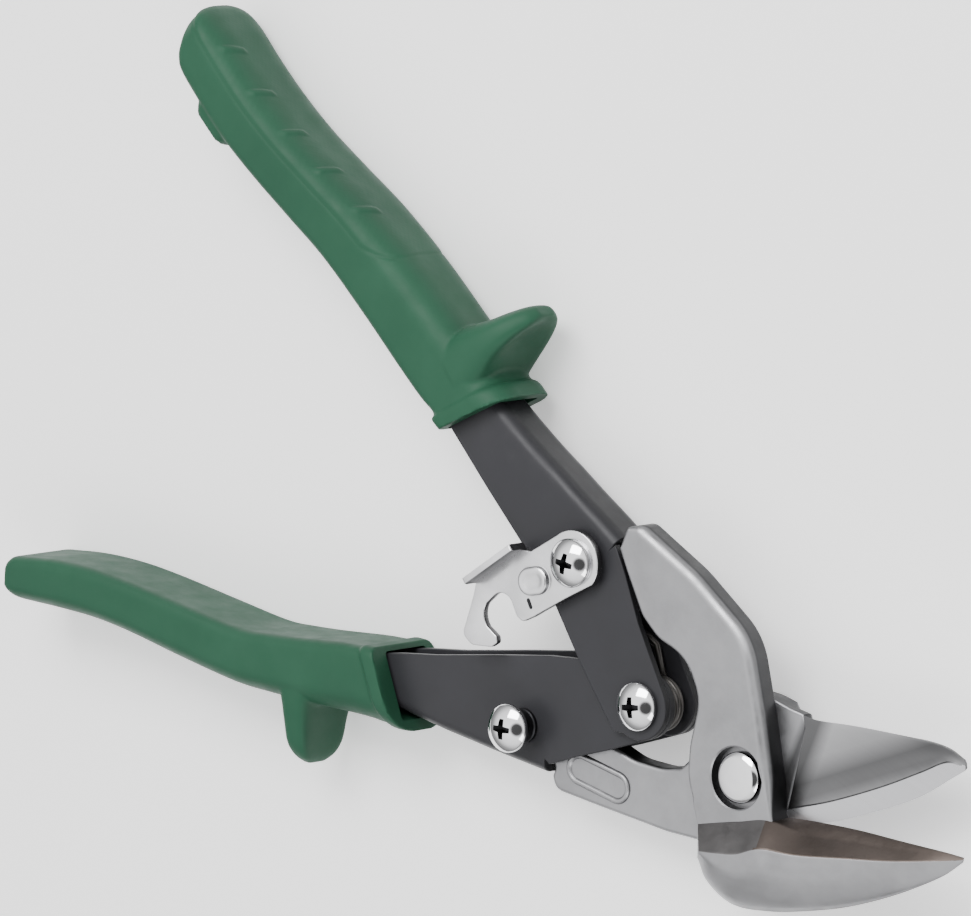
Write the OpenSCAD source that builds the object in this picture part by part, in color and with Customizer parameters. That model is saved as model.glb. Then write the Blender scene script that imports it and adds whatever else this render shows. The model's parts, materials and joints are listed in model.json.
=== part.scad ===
// Offset compound-leverage aviation snips, about 235 mm long.
// The tool lies on its side: Z is the direction of every pivot, the bench is z = 0.
// X runs from the handles to the blades along the linkage's own centre line, Y is up
// towards the upper handle. The origin is the main pivot's axis, on the bench plane.

/* [Linkage] */
// Distance from the main pivot to each handle pivot
jaw_link = 54; // [53:0.5:56]
// Distance from each handle pivot to the pivot between the handles
handle_link = 30; // [29.5:0.5:31]
// Half of the angle between the two jaw links when the tool is open
half_open = 19.6; // [18.5:0.1:20.5]

/* [Sheet metal] */
// Thickness of the pressed handle channels
sheet_t = 1.5; // [1.2:0.1:1.6]
// Radius of the rounded handle ends around the pivot between the handles
ear_r = 6.6; // [6:0.1:7]

/* [Jaws] */
// Thickness of the forged jaw plates at the main pivot
jaw_t = 5.05; // [4.5:0.05:5.2]

/* [Fasteners] */
// Radius of the small screw heads
head_r = 4.7; // [4:0.1:5]
// Height of the small screw heads' straight rims
rim_h = 0.9; // [0.4:0.1:1.2]
// Radius of the small screw shanks
shank_r = 2.5; // [2:0.1:2.5]
// Radius of the main bolt head
bolt_head_r = 4.9; // [4.5:0.1:5.2]

/* [Grips] */
// Half of the hand guards' depth across the pivots
guard_b = 8.6; // [8:0.1:9.2]
// Half of the finger step's depth across the pivots
step_b = 8.0; // [7.5:0.1:8.5]
// Clearance between each grip and the sheet metal inside it
grip_fit = 0.12; // [0.1:0.01:0.2]
// How far the grips' mouths are hollow, before the vinyl fills the channel
mouth_depth = 10; // [6:1:14]

/* [Hidden] */
mid = 9.6;          // height of the handles' mid plane above the bench
zs = 2.3;           // shear plane, from the mid plane
zf = zs + jaw_t + 0.05;
PA = [-jaw_link * cos(half_open), jaw_link * sin(half_open)];
PB = [PA[0], -PA[1]];
PH = [PA[0] + sqrt(handle_link * handle_link - PA[1] * PA[1]), 0];
fit = 0.05;         // radial running clearance of each pivot
loop_play = 0.45;   // radial play of the lower handle's hole for the pivot between the handles
uf = 6.0;           // upper handle: front face, rear face
ur = -4.4;
lf = 4.4;           // lower handle: front face, rear face
lr = -6.0;
latch_z = 7.0;
latch_t = 1.4;
post_seat = 8.75;   // underside of the head that the latch hooks behind

function unit(v) = v / norm(v);
function arc(c, r, a0, a1, n) = [for (i = [0:n]) c + r * [cos(a0 + (a1 - a0) * i / n),
                                                          sin(a0 + (a1 - a0) * i / n)]];
// corner p1 of a path rounded to radius r with n steps
function corner(p0, p1, p2, r, n) =
    let (u = unit(p0 - p1), v = unit(p2 - p1), h = acos(max(-1, min(1, u * v))) / 2,
         d = r / tan(h), c = p1 + unit(u + v) * (r / sin(h)),
         s = p1 + u * d - c, e = p1 + v * d - c,
         a0 = atan2(s[1], s[0]), t = atan2(e[1], e[0]) - a0,
         a = t > 180 ? t - 360 : t < -180 ? t + 360 : t)
    [for (i = [0:n]) c + r * [cos(a0 + a * i / n), sin(a0 + a * i / n)]];
// closed path of [x, y, radius] points with its corners rounded
function rounded(p, n = 4) = [for (i = [0:len(p) - 1])
    let (q = p[i], a = p[(i + len(p) - 1) % len(p)], b = p[(i + 1) % len(p)])
    each (q[2] > 0 ? corner([a[0], a[1]], [q[0], q[1]], [b[0], b[1]], q[2], n)
                   : [[q[0], q[1]]])];
module slab(z0, z1) { translate([0, 0, mid + z0]) linear_extrude(z1 - z0) children(); }
module post(p, r, z0, z1) { translate([p[0], p[1], mid + z0]) cylinder(h = z1 - z0, r = r, $fn = 64); }
module ring(p, r, ri, z0, z1) {
    difference() { post(p, r, z0, z1); post(p, ri, z0 - 1, z1 + 1); }
}
// closed solid through equal rings of points
module loft(rings) {
    m = len(rings[0]); k = len(rings);
    polyhedron(points = [for (s = rings) each s],
        faces = [[for (j = [m - 1:-1:0]) j],
                 for (i = [0:k - 2]) for (j = [0:m - 1]) each
                    [[i * m + j, i * m + (j + 1) % m, (i + 1) * m + (j + 1) % m],
                     [i * m + j, (i + 1) * m + (j + 1) % m, (i + 1) * m + j]],
                 [for (j = [0:m - 1]) (k - 1) * m + j]], convexity = 6);
}
// low domed head with a cross recess
module dome_head(p, r, z0, h) {
    d = h - rim_h;
    R = (r * r + d * d) / (2 * d);
    difference() {
        translate([p[0], p[1], mid + z0])
            rotate_extrude($fn = 64)
                polygon(concat([[0, 0], [r, 0], [r, rim_h]],
                    [for (i = [1:6]) let (x = r * (1 - i / 6))
                        [x, rim_h + sqrt(R * R - x * x) - (R - d)]]));
        for (a = [25, 115]) translate([p[0], p[1], mid + z0 + h - 0.9]) rotate([0, 0, a])
            translate([-2.3, -0.55, 0]) cube([4.6, 1.1, 3]);
    }
}
module hex_nut(p, af, ri, z0, z1) {
    difference() {
        translate([p[0], p[1], mid + z0]) rotate([0, 0, 12])
            cylinder(h = z1 - z0, r = af / sqrt(3), $fn = 6);
        post(p, ri, z0 - 1, z1 + 1);
    }
}

/* ---- outlines in the plane of the tool ---- */
// front view of the lower jaw's shank and pivot plate, down to the bend above the blade
jaw_front = rounded([[-42.8, 25.6, 0.6], [-39.6, 22.6, 2], [-32.6, 16.6, 6], [-27.6, 14.6, 8],
    [-20, 14.6, 10], [-14, 9, 8], [-12.4, 0, 14], [-10.4, -5.6, 12], [-4.2, -12.6, 0],
    [-2.2, -13.6, 0], [12.2, -4.6, 0], [10.3, -2.4, 1], [7.2, 3.4, 20],
    [0.4, 13.4, 14], [-8.5, 25.4, 7], [-25, 30.1, 30], [-40, 32.2, 4], [-42.8, 30.2, 1]], 4);
// the tang that runs from the shank into the upper handle
tang_a = rounded([[-42, 14.2, 2], [-29, 15.6, 4], [-19, 15.4, 3], [-14.6, 20.6, 3],
    [-24, 25.6, 4], [-40.6, 26.8, 1], [-44.2, 24.6, 1], [-50, 24.9, 2], [-50, 11.2, 2]], 3);
// the upper jaw's tang and shank, as far as its pivot disc
tang_b = rounded([[-48, -12.1, 3], [-36, -11.8, 4], [-26, -11.8, 12], [-19, -9.6, 12],
    [-12, -5.4, 3], [0, 4, 0], [6, -12, 0], [-3, -16.9, 8], [-13.6, -20.4, 20], [-30, -24.3, 30],
    [-40.6, -26.7, 2.6], [-42.3, -24.6, 1], [-42.3, -22.2, 1], [-48, -21.6, 2]], 4);
// upper handle: the web side runs from the shoulder back along the top
web_a = [[-44.7, 26.6], [-56.5, 29.4], [-70, 32.6], [-84, 36.6], [-102, 41.4], [-118, 46.2],
    [-151, 54.5]];
upper_plate = concat(
    [[-44.7, 26.6], [-44.7, 25.2], [-40.4, 21.3], [-33.6, 14.2], [-27.2, 8.2]],
    arc(PH, ear_r, 44, -140, 12),
    [[-36, -4.3], [-43.3, 0.8], [-52.6, 7.4], [-65.2, 14.4], [-89, 25.6], [-104, 33.2],
     [-118, 38.0], [-150, 46.5]],
    [for (i = [6:-1:1]) web_a[i]]);
web_b = [[-43.2, -24.4], [-56, -27.2], [-69, -29.8], [-82, -32.0], [-104, -38.2], [-124, -44.4],
    [-151, -50.2]];
lower_plate = concat(
    [[-43.2, -24.4], [-42.2, -21.8], [-37.6, -17.6], [-30.6, -11.9]],
    arc(PH, ear_r, -50, 136, 12),
    [[-36.5, 3.6], [-43.6, 0.6], [-51, -2.8], [-61, -8.3], [-76, -16.8], [-92, -25.4], [-108, -32.0],
     [-124, -36.6], [-152, -42.0]],
    [for (i = [6:-1:1]) web_b[i]]);
// the space between a channel's two plates: everything inside its web
function cavity(w, side) = let (p = concat([2 * w[0] - w[1]], w, [2 * w[6] - w[5]]))
    concat([for (i = [0:len(p) - 1])
        let (u = unit(p[min(len(p) - 1, i + 1)] - p[max(0, i - 1)]))
        p[i] + sheet_t * side * [-u[1], u[0]]],
        [[-220, -60 * side], [60, -60 * side], [60, 25 * side]]);

/* ---- lower jaw: fixed body ---- */
// lower blade: sections from the heel to the tip, each [edge, ledge, ridge, belly, bottom, root]
blade_a = [
    [[-4.4, -12.2, 2.35], [-4.4, -12.4, 7.3], [1.0, -14.8, 11.6], [0.9, -15.6, 11.2],
     [-0.6, -17.4, 8.6], [-0.6, -16.8, 2.35]],
    [[-0.3, -9.6, 2.35], [-0.3, -9.7, 7.3], [4.6, -13.0, 11.9], [4.2, -15.6, 11.6],
     [3.2, -20.6, 8.4], [3.2, -20.0, 2.35]],
    [[4.1, -6.9, 2.35], [4.1, -6.9, 7.3], [8.8, -10.7, 12.0], [9.2, -14.6, 11.9],
     [9.6, -21.6, 8.0], [9.4, -20.8, 2.35]],
    [[10.3, -3.2, 2.35], [10.3, -3.2, 7.2], [13.2, -7.0, 11.9], [14.6, -11.8, 11.8],
     [17.0, -18.8, 7.4], [16.4, -18.0, 2.35]],
    [[16.5, -0.4, 2.35], [17.4, -2.4, 5.4], [19.6, -4.8, 10.2], [21.0, -9.6, 10.2],
     [23.0, -15.4, 6.6], [22.6, -14.6, 2.35]],
    [[26.0, 3.3, 2.35], [26.8, 1.4, 4.6], [28.4, -0.6, 8.4], [29.6, -4.8, 8.2],
     [31.2, -9.8, 5.4], [30.8, -9.2, 2.35]],
    [[35.6, 6.5, 2.35], [36.2, 5.2, 3.8], [37.2, 3.6, 6.2], [38.2, 0.6, 5.8],
     [39.4, -2.6, 4.2], [39.0, -2.2, 2.35]],
    [[45.0, 9.7, 2.35], [45.2, 9.2, 2.8], [45.6, 8.2, 3.6], [45.9, 6.8, 3.4],
     [46.3, 5.0, 2.9], [46.1, 5.2, 2.35]],
    [[49.3, 11.0, 2.35], [49.35, 10.9, 2.5], [49.45, 10.6, 2.7], [49.5, 10.3, 2.7],
     [49.5, 10.0, 2.55], [49.45, 10.05, 2.35]]];
module lower_jaw() {
    color([0.62, 0.62, 0.63]) difference() {
        union() {
            slab(zs + 0.05, zf) polygon(jaw_front);
            slab(-2.5, 2.5) difference() {
                union() { polygon(tang_a); translate(PA) circle(r = 7, $fn = 48); }
                circle(r = 17, $fn = 96);
            }
            translate([0, 0, mid]) loft([for (s = blade_a) [for (i = [5:-1:0]) s[i]]]);
        }
        post([0, 0], 5.95, 5.0, 12);
        post([0, 0], 4.0, -3, 12);
        post(PA, shank_r + fit, -9, 9);
        // long bevel along the outer top edge of the shank
        for (s = [[[-40, 32.2], [-25, 30.1]], [[-25, 30.1], [-8.5, 25.4]], [[-8.5, 25.4], [0.4, 13.4]],
                  [[0.4, 13.4], [7.2, 3.4]]])
            let (d = s[1] - s[0], a = atan2(d[1], d[0]))
            translate([s[0][0], s[0][1], mid + zf]) rotate([0, 0, a]) rotate([-35, 0, 0])
                translate([-4, -0.9, -6]) cube([norm(d) + 8, 6, 12]);
    }
}
module pivot_bolt() {
    color([0.78, 0.79, 0.8]) {
        post([0, 0], 3.95, -mid, 5.0);
        translate([0, 0, mid + 5.05]) rotate_extrude($fn = 64)
            polygon([[0, -0.05], [bolt_head_r, -0.05], [bolt_head_r, 1.7], [bolt_head_r - 0.7, 2.3],
                     [0, 2.7]]);
    }
}
module pivot_washer() { color([0.6, 0.6, 0.62]) ring([0, 0], 8.2, 4.1, -4.1, -2.6); }
module pivot_nut() { color([0.55, 0.55, 0.57]) hex_nut([0, 0], 13, 3.96, -9.0, -4.1); }

/* ---- upper jaw ---- */
// upper blade sections from the pivot disc out: [edge, land, hollow, top front, top back, spine, relief]
blade_b = [
    [[9.0, -6.4, 2.3], [8.6, -3.2, 2.3], [7.6, 6, 2.3], [5.6, 16.4, 2.3],
     [5.6, 16.0, -1.4], [7, 8, -2.5], [9.0, -4.4, -2.5]],
    [[11.4, -3.5, 2.3], [10.6, -1.2, 2.3], [10.0, 7, 0.9], [9.2, 17.2, 1.9],
     [9.2, 17.0, -0.6], [9.6, 8, -2.5], [11.6, -3.2, -2.0]],
    [[19.6, 1.2, 2.3], [18.0, 4.6, 2.3], [17.4, 11, 0.7], [16.4, 20.2, 1.7],
     [16.4, 20.0, 0], [17.2, 12, -2.5], [19.2, 2.4, -1.8]],
    [[28.7, 9.0, 2.3], [27.0, 12.9, 2.3], [25.8, 17.4, 0.9], [24.4, 23.2, 1.6],
     [24.4, 23.0, 0], [25.6, 17, -2.2], [28.0, 9.8, -1.4]],
    [[35.7, 16.0, 2.3], [33.8, 20.0, 2.3], [32.6, 22.8, 1.1], [31.2, 25.6, 1.7],
     [31.2, 25.4, 0.2], [32.6, 21.6, -1.4], [35.0, 17.0, -0.8]],
    [[40.6, 22.8, 2.3], [38.2, 24.7, 2.3], [37.6, 25.9, 1.7], [36.8, 27.2, 1.9],
     [36.8, 27.0, 0.7], [38.2, 25.4, 0], [40.0, 23.4, 0.2]],
    [[42.6, 25.6, 2.3], [42.4, 26.2, 2.3], [42.0, 26.8, 2.2], [41.4, 27.4, 2.2],
     [41.3, 27.2, 1.5], [41.8, 26.6, 1.3], [42.3, 25.9, 1.4]]];
module upper_jaw() {
    color([0.66, 0.66, 0.67]) difference() {
        union() {
            slab(-2.5, zs) {
                circle(r = 15.6, $fn = 96);
                polygon(tang_b);
                translate(PB) circle(r = 6, $fn = 48);
            }
            translate([0, 0, mid]) loft(blade_b);
            // oval nameplate rim, left blank
            translate([-32, -19.2, mid + zs - 0.2]) rotate([0, 0, 8]) linear_extrude(0.6)
                difference() {
                    badge(0);
                    badge(0.9);
                }
        }
        post([0, 0], 3.95 + fit, -6, 6);
        post(PB, shank_r + fit, -9, 9);
    }
}
module badge(i) {
    square([9.6, 5.8 - 2 * i], center = true);
    for (s = [-1, 1]) translate([s * 4.8, 0]) circle(r = 2.9 - i, $fn = 36);
}

/* ---- upper handle body ---- */
module channel(plate, web, side, f, r, hole, open_hole) {
    difference() {
        slab(r, f) polygon(plate);
        slab(r + sheet_t, f - sheet_t) polygon(cavity(web, side));
        post(hole, shank_r, -12, 12);
        post(PH, open_hole, -12, 12);
    }
}
module upper_handle() {
    color([0.3, 0.3, 0.31]) channel(upper_plate, web_a, 1, uf, ur, PA, shank_r);
}
module lower_handle() {
    color([0.3, 0.3, 0.31]) channel(lower_plate, web_b, -1, lf, lr, PB, shank_r + loop_play);
}
// grip path from the collar to the butt: [x, y, half width, half depth, slant of the section]
path_u = [[-84.7, 31.8, 9.0, 9.6, -20], [-87.2, 32.8, 9.0, 9.6, -20], [-88.2, 33.2, 8.1, 9.2, -18],
    [-95, 35.6, 7.8, 9.2, -10], [-102, 38.4, 7.6, 9.4, -3], [-114, 43.2, 7.3, 9.6, 0],
    [-128, 48.0, 6.8, 9.6, 0], [-140, 50.9, 6.5, 9.6, 0], [-151, 53.6, 6.3, 9.6, 0],
    [-161, 56.8, 6.3, 9.6, 0], [-169.5, 60.4, 6.3, 9.6, 0], [-177.6, 64.6, 6.1, 9.3, 0],
    [-182.3, 67.3, 4.4, 7.8, 0]];
path_l = [[-81.5, -27.5, 8.8, 9.6, -24], [-84.0, -28.4, 8.8, 9.6, -24], [-85.0, -28.8, 7.9, 9.2, -22],
    [-93, -31.4, 7.2, 9.2, -10], [-103, -35.4, 6.6, 9.4, -3], [-111, -38.4, 6.2, 9.6, 0],
    [-119, -41.0, 5.9, 9.6, 0], [-133, -43.7, 5.7, 9.6, 0], [-147, -46.2, 5.4, 9.6, 0],
    [-157, -48.5, 5.3, 9.6, 0], [-166, -51.4, 5.3, 9.6, 0], [-174.6, -54.8, 4.9, 9.2, 0],
    [-179, -56.7, 3.8, 7.6, 0]];
// one D-shaped section: flat towards the other handle, rounded on the palm side
function d_ring(c, u, a, b, side) = let (n = [-u[1], u[0]] * side, r = 2.2)
    [for (q = concat(
        [[-a, -(b - r)], [-a + 0.3 * r, -(b - 0.3 * r)], [-a + r, -b], [a * 0.25, -b]],
        [for (i = [1:5]) let (t = -90 + 30 * i) [a * 0.25 + a * 0.75 * cos(t),
            b * 0.25 * sign(sin(t)) * (abs(sin(t)) > 0.01 ? 1 : 0) + b * 0.75 * sin(t)]],
        [[a * 0.25, b], [-a + r, b], [-a + 0.3 * r, b - 0.3 * r], [-a, b - r]]))
        [c[0] + n[0] * q[0], c[1] + n[1] * q[0], q[1] * side]];
function d_path(p, side) = [for (i = [0:len(p) - 1])
    let (a = p[max(0, i - 1)], b = p[min(len(p) - 1, i + 1)],
         u = unit([a[0] - b[0], a[1] - b[1]]), t = p[i][4] * side)
    d_ring([p[i][0], p[i][1]], [u[0] * cos(t) - u[1] * sin(t), u[0] * sin(t) + u[1] * cos(t)],
           p[i][2], p[i][3], side)];
// a guard's arched outline across the pivots, standing on the grip at base and leaning by turn
module arch(base, turn, reach) {
    translate([base[0], base[1], mid]) rotate([0, 0, turn]) rotate([90, 0, 0])
        linear_extrude(60, center = true) scale([reach, guard_b]) circle(r = 1, $fn = 48);
}
// what the channel takes out of a grip: the whole channel at the mouth, its sheet metal further in
module socket(plate, web, f, r, side) {
    difference() {
        slab(r - grip_fit, f + grip_fit) {
            polygon(plate);
            for (d = [[0.15, 0.3], [-0.15, -0.3], [-0.4, side * 0.1]]) translate(d) polygon(plate);
        }
        slab(r + sheet_t + grip_fit, f - sheet_t - grip_fit) intersection() {
            translate([0, -side * 0.3]) polygon(cavity(web, side));
            translate([-300 - mouth_depth, -100]) square([300 - 84, 200]);
        }
    }
}
module grip(p, plate, web, f, r, side) {
    difference() {
        union() {
            translate([0, 0, mid]) loft(d_path(p, side));
            // guard that keeps the hand off the pivots
            intersection() {
                slab(-guard_b, guard_b) polygon(side > 0
                    ? rounded([[-102, 40, 0], [-84, 35, 0], [-83.2, 41.6, 6], [-80, 54.4, 1.6],
                               [-84, 55.8, 2], [-96, 43.4, 8]], 4)
                    : rounded([[-110, -38, 0], [-104.4, -42.6, 6], [-100.2, -53, 2], [-94.8, -52.4, 2.4],
                               [-96.4, -42, 5], [-86, -33, 0]], 4));
                if (side > 0) arch([-92, 36], 56, 21);
                else arch([-98, -34], 112, 19.4);
            }
            // finger step at the upper grip's butt
            if (side > 0) slab(-step_b, step_b)
                polygon([[-160, 52], [-163.2, 48.4], [-172, 52.2], [-175, 60]]);
        }
        socket(plate, web, f, r, side);
    }
}
module upper_grip() { color([0.22, 0.45, 0.33]) grip(path_u, upper_plate, web_a, uf, ur, 1); }
module lower_grip() { color([0.22, 0.45, 0.33]) grip(path_l, lower_plate, web_b, lf, lr, -1); }
module upper_screw() {
    color([0.82, 0.82, 0.84]) {
        post(PA, shank_r, -8.6, latch_z + latch_t + 0.06);
        dome_head(PA, head_r, latch_z + latch_t + 0.05, 2.8);
    }
}
module upper_nut() { color([0.6, 0.6, 0.62]) hex_nut(PA, 8, shank_r, -8.2, -4.4); }
module upper_spacer() { color([0.5, 0.5, 0.5]) ring(PA, 3.8, shank_r + fit, 2.55, 4.45); }
module handle_screw() {
    color([0.82, 0.82, 0.84]) {
        post(PH, shank_r, -9.4, uf + 0.05);
        dome_head(PH, head_r, uf, 2.8);
    }
}
module handle_sleeve() { color([0.55, 0.55, 0.56]) ring(PH, 3.6, shank_r + fit, -2.8, 2.8); }
module handle_nut() { color([0.6, 0.6, 0.62]) hex_nut(PH, 8, shank_r, -9.3, -6.1); }
// coil spring round the sleeve; its legs rest along the two tangs and push them apart
coil_r = 4.75;
wire_r = 0.8;
function coil_pt(t) = [PH[0] + coil_r * cos(t), PH[1] + coil_r * sin(t), -1.9 + 3.8 * (t - 118) / 844];
spring_path = concat(
    [[-45.4, 9.3, -1.9], [-38, 9.9, -1.9], [-31.4, 8.2, -1.9]],
    [for (i = [0:42]) coil_pt(118 + 844 * i / 42)],
    [[-31.4, -8.2, 1.9], [-38, -9.5, 1.9], [-45.4, -9.8, 1.9]]);
module torsion_spring() {
    p = spring_path;
    color([0.35, 0.35, 0.36]) translate([0, 0, mid]) loft([for (i = [0:len(p) - 1])
        let (u = unit(p[min(len(p) - 1, i + 1)] - p[max(0, i - 1)]),
             s = unit(cross([0, 0, 1], u)), w = cross(u, s))
        [for (k = [7:-1:0]) p[i] + wire_r * (cos(45 * k) * s - sin(45 * k) * w)]]);
}

/* ---- lower handle body ---- */
module post_screw() {
    color([0.82, 0.82, 0.84]) {
        post(PB, shank_r, -9.2, lf + 0.1);
        post(PB, 2.0, lf, post_seat + 0.1);
        post(PB, 3.4, lf, lf + 0.8);
        dome_head(PB, head_r, post_seat, 2.8);
    }
}
module post_nut() { color([0.6, 0.6, 0.62]) hex_nut(PB, 8, shank_r, -9.2, -6.0); }
module lower_spacer() { color([0.5, 0.5, 0.5]) ring(PB, 3.8, shank_r + fit, -4.45, -2.55); }

/* ---- latch ---- */
latch_path = concat(
    arc(PA, 6.2, -14, 152, 12),
    [[-60.6, 15.2], [-63.2, 14.2], [-70.2, 3.4], [-69.6, 0.4], [-69.0, -6.6], [-68.0, -8.0],
     [-66.0, -8.3], [-61.6, -6.4], [-60.7, -5.0], [-61.0, -3.9]],
    arc([-62.3, 0.2], 3.9, 250, 172, 6),
    arc([-62.5, 1.7], 2.9, 160, 42, 6),
    [[-58.6, 2.3], [-57.2, 2.0], [-56.0, 2.6], [-54.6, 4.4], [-49.2, 11.4]]);
module latch() {
    color([0.78, 0.78, 0.8]) difference() {
        union() {
            slab(latch_z, latch_z + latch_t) polygon(latch_path);
            // thumb tab bent up along the outer edge
            translate([-63.2, 14.2, mid + latch_z]) rotate([0, 0, atan2(-10.8, -7)])
                translate([-0.4, -latch_t + 0.25, 0]) cube([13.6, latch_t, 4.6]);
            // pressed dimple
            translate([-57.7, 10.2, mid + latch_z + latch_t - 0.1]) rotate_extrude($fn = 48)
                polygon([[0, 0], [3.5, 0], [3.3, 0.3], [2.2, 0.9], [0, 1.1]]);
        }
        post(PA, shank_r + fit, 0, 12);
        translate([-56.7, 5.9, mid + 3]) rotate([0, 0, -40]) cube([2.2, 0.9, 9], center = true);
    }
}
module latch_washer() { color([0.7, 0.7, 0.7]) ring(PA, 5.4, shank_r + fit, uf, latch_z - 0.02); }

lower_jaw();
pivot_bolt();
pivot_washer();
pivot_nut();
upper_jaw();
upper_handle();
upper_grip();
upper_screw();
upper_nut();
upper_spacer();
handle_screw();
handle_sleeve();
handle_nut();
torsion_spring();
lower_handle();
lower_grip();
post_screw();
post_nut();
lower_spacer();
latch();
latch_washer();
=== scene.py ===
"""Looks for a pair of offset aviation snips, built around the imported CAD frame.

Lengths are in millimetres in the tool's own frame until a mesh is made: X towards the blades, Y towards
the upper handle, and z counted from the handles' mid plane.
"""
import json
import math

import bmesh
import bpy
import numpy as np
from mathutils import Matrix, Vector


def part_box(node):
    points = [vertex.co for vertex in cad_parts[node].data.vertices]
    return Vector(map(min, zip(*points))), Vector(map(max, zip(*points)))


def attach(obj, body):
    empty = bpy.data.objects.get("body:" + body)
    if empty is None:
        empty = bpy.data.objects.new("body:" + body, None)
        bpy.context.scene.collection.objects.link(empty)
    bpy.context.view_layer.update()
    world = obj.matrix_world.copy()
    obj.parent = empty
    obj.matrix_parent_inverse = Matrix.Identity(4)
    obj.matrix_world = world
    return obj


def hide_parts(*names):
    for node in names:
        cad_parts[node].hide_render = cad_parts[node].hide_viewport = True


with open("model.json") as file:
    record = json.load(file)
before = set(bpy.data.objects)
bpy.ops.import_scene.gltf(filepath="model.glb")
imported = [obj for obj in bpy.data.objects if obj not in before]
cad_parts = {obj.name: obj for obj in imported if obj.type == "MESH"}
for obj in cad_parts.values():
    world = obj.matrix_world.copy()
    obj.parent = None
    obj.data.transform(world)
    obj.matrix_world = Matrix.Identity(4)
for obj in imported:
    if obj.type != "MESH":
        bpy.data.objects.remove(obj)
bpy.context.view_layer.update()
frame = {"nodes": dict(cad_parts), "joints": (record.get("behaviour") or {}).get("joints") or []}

MM = 0.001
joints = {j["name"]: j for j in frame["joints"]}
MID = joints["jaw_pivot"]["pos_m"][2] / MM


def joint_xy(name):
    return np.array(joints[name]["pos_m"][:2]) / MM


def node_xy(name):
    low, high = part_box(name)
    return (np.array(low[:2]) + np.array(high[:2])) / 2 / MM


PA = joint_xy("upper_handle_pivot")
PB = joint_xy("lower_handle_pivot")
PH = node_xy("handle_sleeve")
SHEAR = 2.3                     # the plane where the blades meet
JAW_FACE = 7.4                  # front face of the lower jaw
LOWER_JAW_REAR = SHEAR + 0.05
UPPER_JAW_REAR = -2.5
BLADE_TOP = 12.0                # highest point of the lower blade
TIP_X = 49.45                   # its tip
BLADE_ACROSS = (-0.69, 0.724)   # across the upper blade, from its cutting edge to its spine
EAR_R = 6.6                     # rounded handle ends
SHEET = 1.5                     # thickness of the pressed handles
UPPER_FACES = (6.0, -4.4)       # front and rear face of the upper handle
LOWER_FACES = (4.4, -6.0)
SCREW_R = 2.5
SCREW_HOLE_R = 2.55
HEAD_R = 4.7
DOME = 1.9                      # how far a head's dome rises above its rim
DOME_R = (HEAD_R ** 2 + DOME ** 2) / (2 * DOME)
BOLT_HEAD_R = 4.9
LATCH_LOW = 7.0
LATCH_HIGH = 8.4
MOUTH_GAP = 0.9                 # room round the channel in a grip's mouth
CAMERA_AT = (0.73771, 0.58324, 1.18816)
CAMERA_TURN = (-6.2465, 39.7629, 24.6291)
CAMERA_LENS = 297.5


# ---------------------------------------------------------------- curves
def unit(v):
    v = np.asarray(v, float)
    return v / np.linalg.norm(v)


def heading(degrees):
    a = math.radians(degrees)
    return np.array([math.cos(a), math.sin(a)])


def corners(*points):
    return [np.array(p, float) for p in points]


def arc(centre, r, a0, a1, n):
    t = np.radians(np.linspace(a0, a1, n + 1))
    return [np.array([centre[0] + r * math.cos(a), centre[1] + r * math.sin(a)]) for a in t]


def stadium(centre, lie, half, r, n):
    """A slot's outline: straight for half the way to either side along lie, with round ends."""
    wide = np.array([-lie[1], lie[0]])
    ends = arc((half, 0), r, -90, 90, n) + arc((-half, 0), r, 90, 270, n)
    return [centre + lie * p[0] + wide * p[1] for p in ends]


def rounded(points, n=8, closed=True):
    """An outline from [x, y, corner radius] points; an open one keeps its two ends sharp."""
    out = []
    for i, (x, y, r) in enumerate(points):
        p = np.array([x, y], float)
        if r <= 0 or not closed and i in (0, len(points) - 1):
            out.append(p)
            continue
        u = unit(np.array(points[i - 1][:2]) - p)
        v = unit(np.array(points[(i + 1) % len(points)][:2]) - p)
        half = math.acos(max(-1, min(1, float(u @ v)))) / 2
        c = p + unit(u + v) * r / math.sin(half)
        s = p + u * r / math.tan(half) - c
        e = p + v * r / math.tan(half) - c
        a0 = math.atan2(s[1], s[0])
        turn = (math.atan2(e[1], e[0]) - a0 + math.pi) % (2 * math.pi) - math.pi
        out += [c + r * np.array([math.cos(a0 + turn * k / n), math.sin(a0 + turn * k / n)])
                for k in range(n + 1)]
    return out


def through(points, steps):
    """A smooth curve through rows of numbers, with the given number of steps between each pair."""
    p = np.asarray(points, float)
    ends = np.vstack([2 * p[0] - p[1], p, 2 * p[-1] - p[-2]])
    out = []
    for i in range(1, len(ends) - 2):
        a, b, c, d = ends[i - 1:i + 3]
        for k in range(steps):
            t = k / steps
            out.append(0.5 * (2 * b + (c - a) * t + (2 * a - 5 * b + 4 * c - d) * t * t
                              + (3 * b - a - 3 * c + d) * t ** 3))
    out.append(p[-1])
    return np.array(out)


def dense(outline, step=1.6, closed=True):
    """The same outline with its long straight stretches cut into shorter ones."""
    out = []
    for i, p in enumerate(outline):
        if not closed and i == len(outline) - 1:
            out.append(np.asarray(p))
            break
        q = outline[(i + 1) % len(outline)]
        n = max(1, int(np.linalg.norm(np.asarray(q) - p) / step))
        out += [np.asarray(p) + (np.asarray(q) - p) * k / n for k in range(n)]
    return out


def inward(outline):
    """Inward offset directions of a closed outline, lengthened at corners."""
    p = np.array(outline)
    area = np.sum(p[:, 0] * np.roll(p[:, 1], -1) - np.roll(p[:, 0], -1) * p[:, 1])
    before = p - np.roll(p, 1, axis=0)
    after = np.roll(p, -1, axis=0) - p
    before /= np.linalg.norm(before, axis=1)[:, None] + 1e-12
    after /= np.linalg.norm(after, axis=1)[:, None] + 1e-12
    t = before + after
    t /= np.linalg.norm(t, axis=1)[:, None] + 1e-12
    n = np.stack([-t[:, 1], t[:, 0]], 1) * (1 if area > 0 else -1)
    cosine = np.clip(np.sum(before * t, axis=1), 0.5, 1)
    return n / cosine[:, None]


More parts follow.
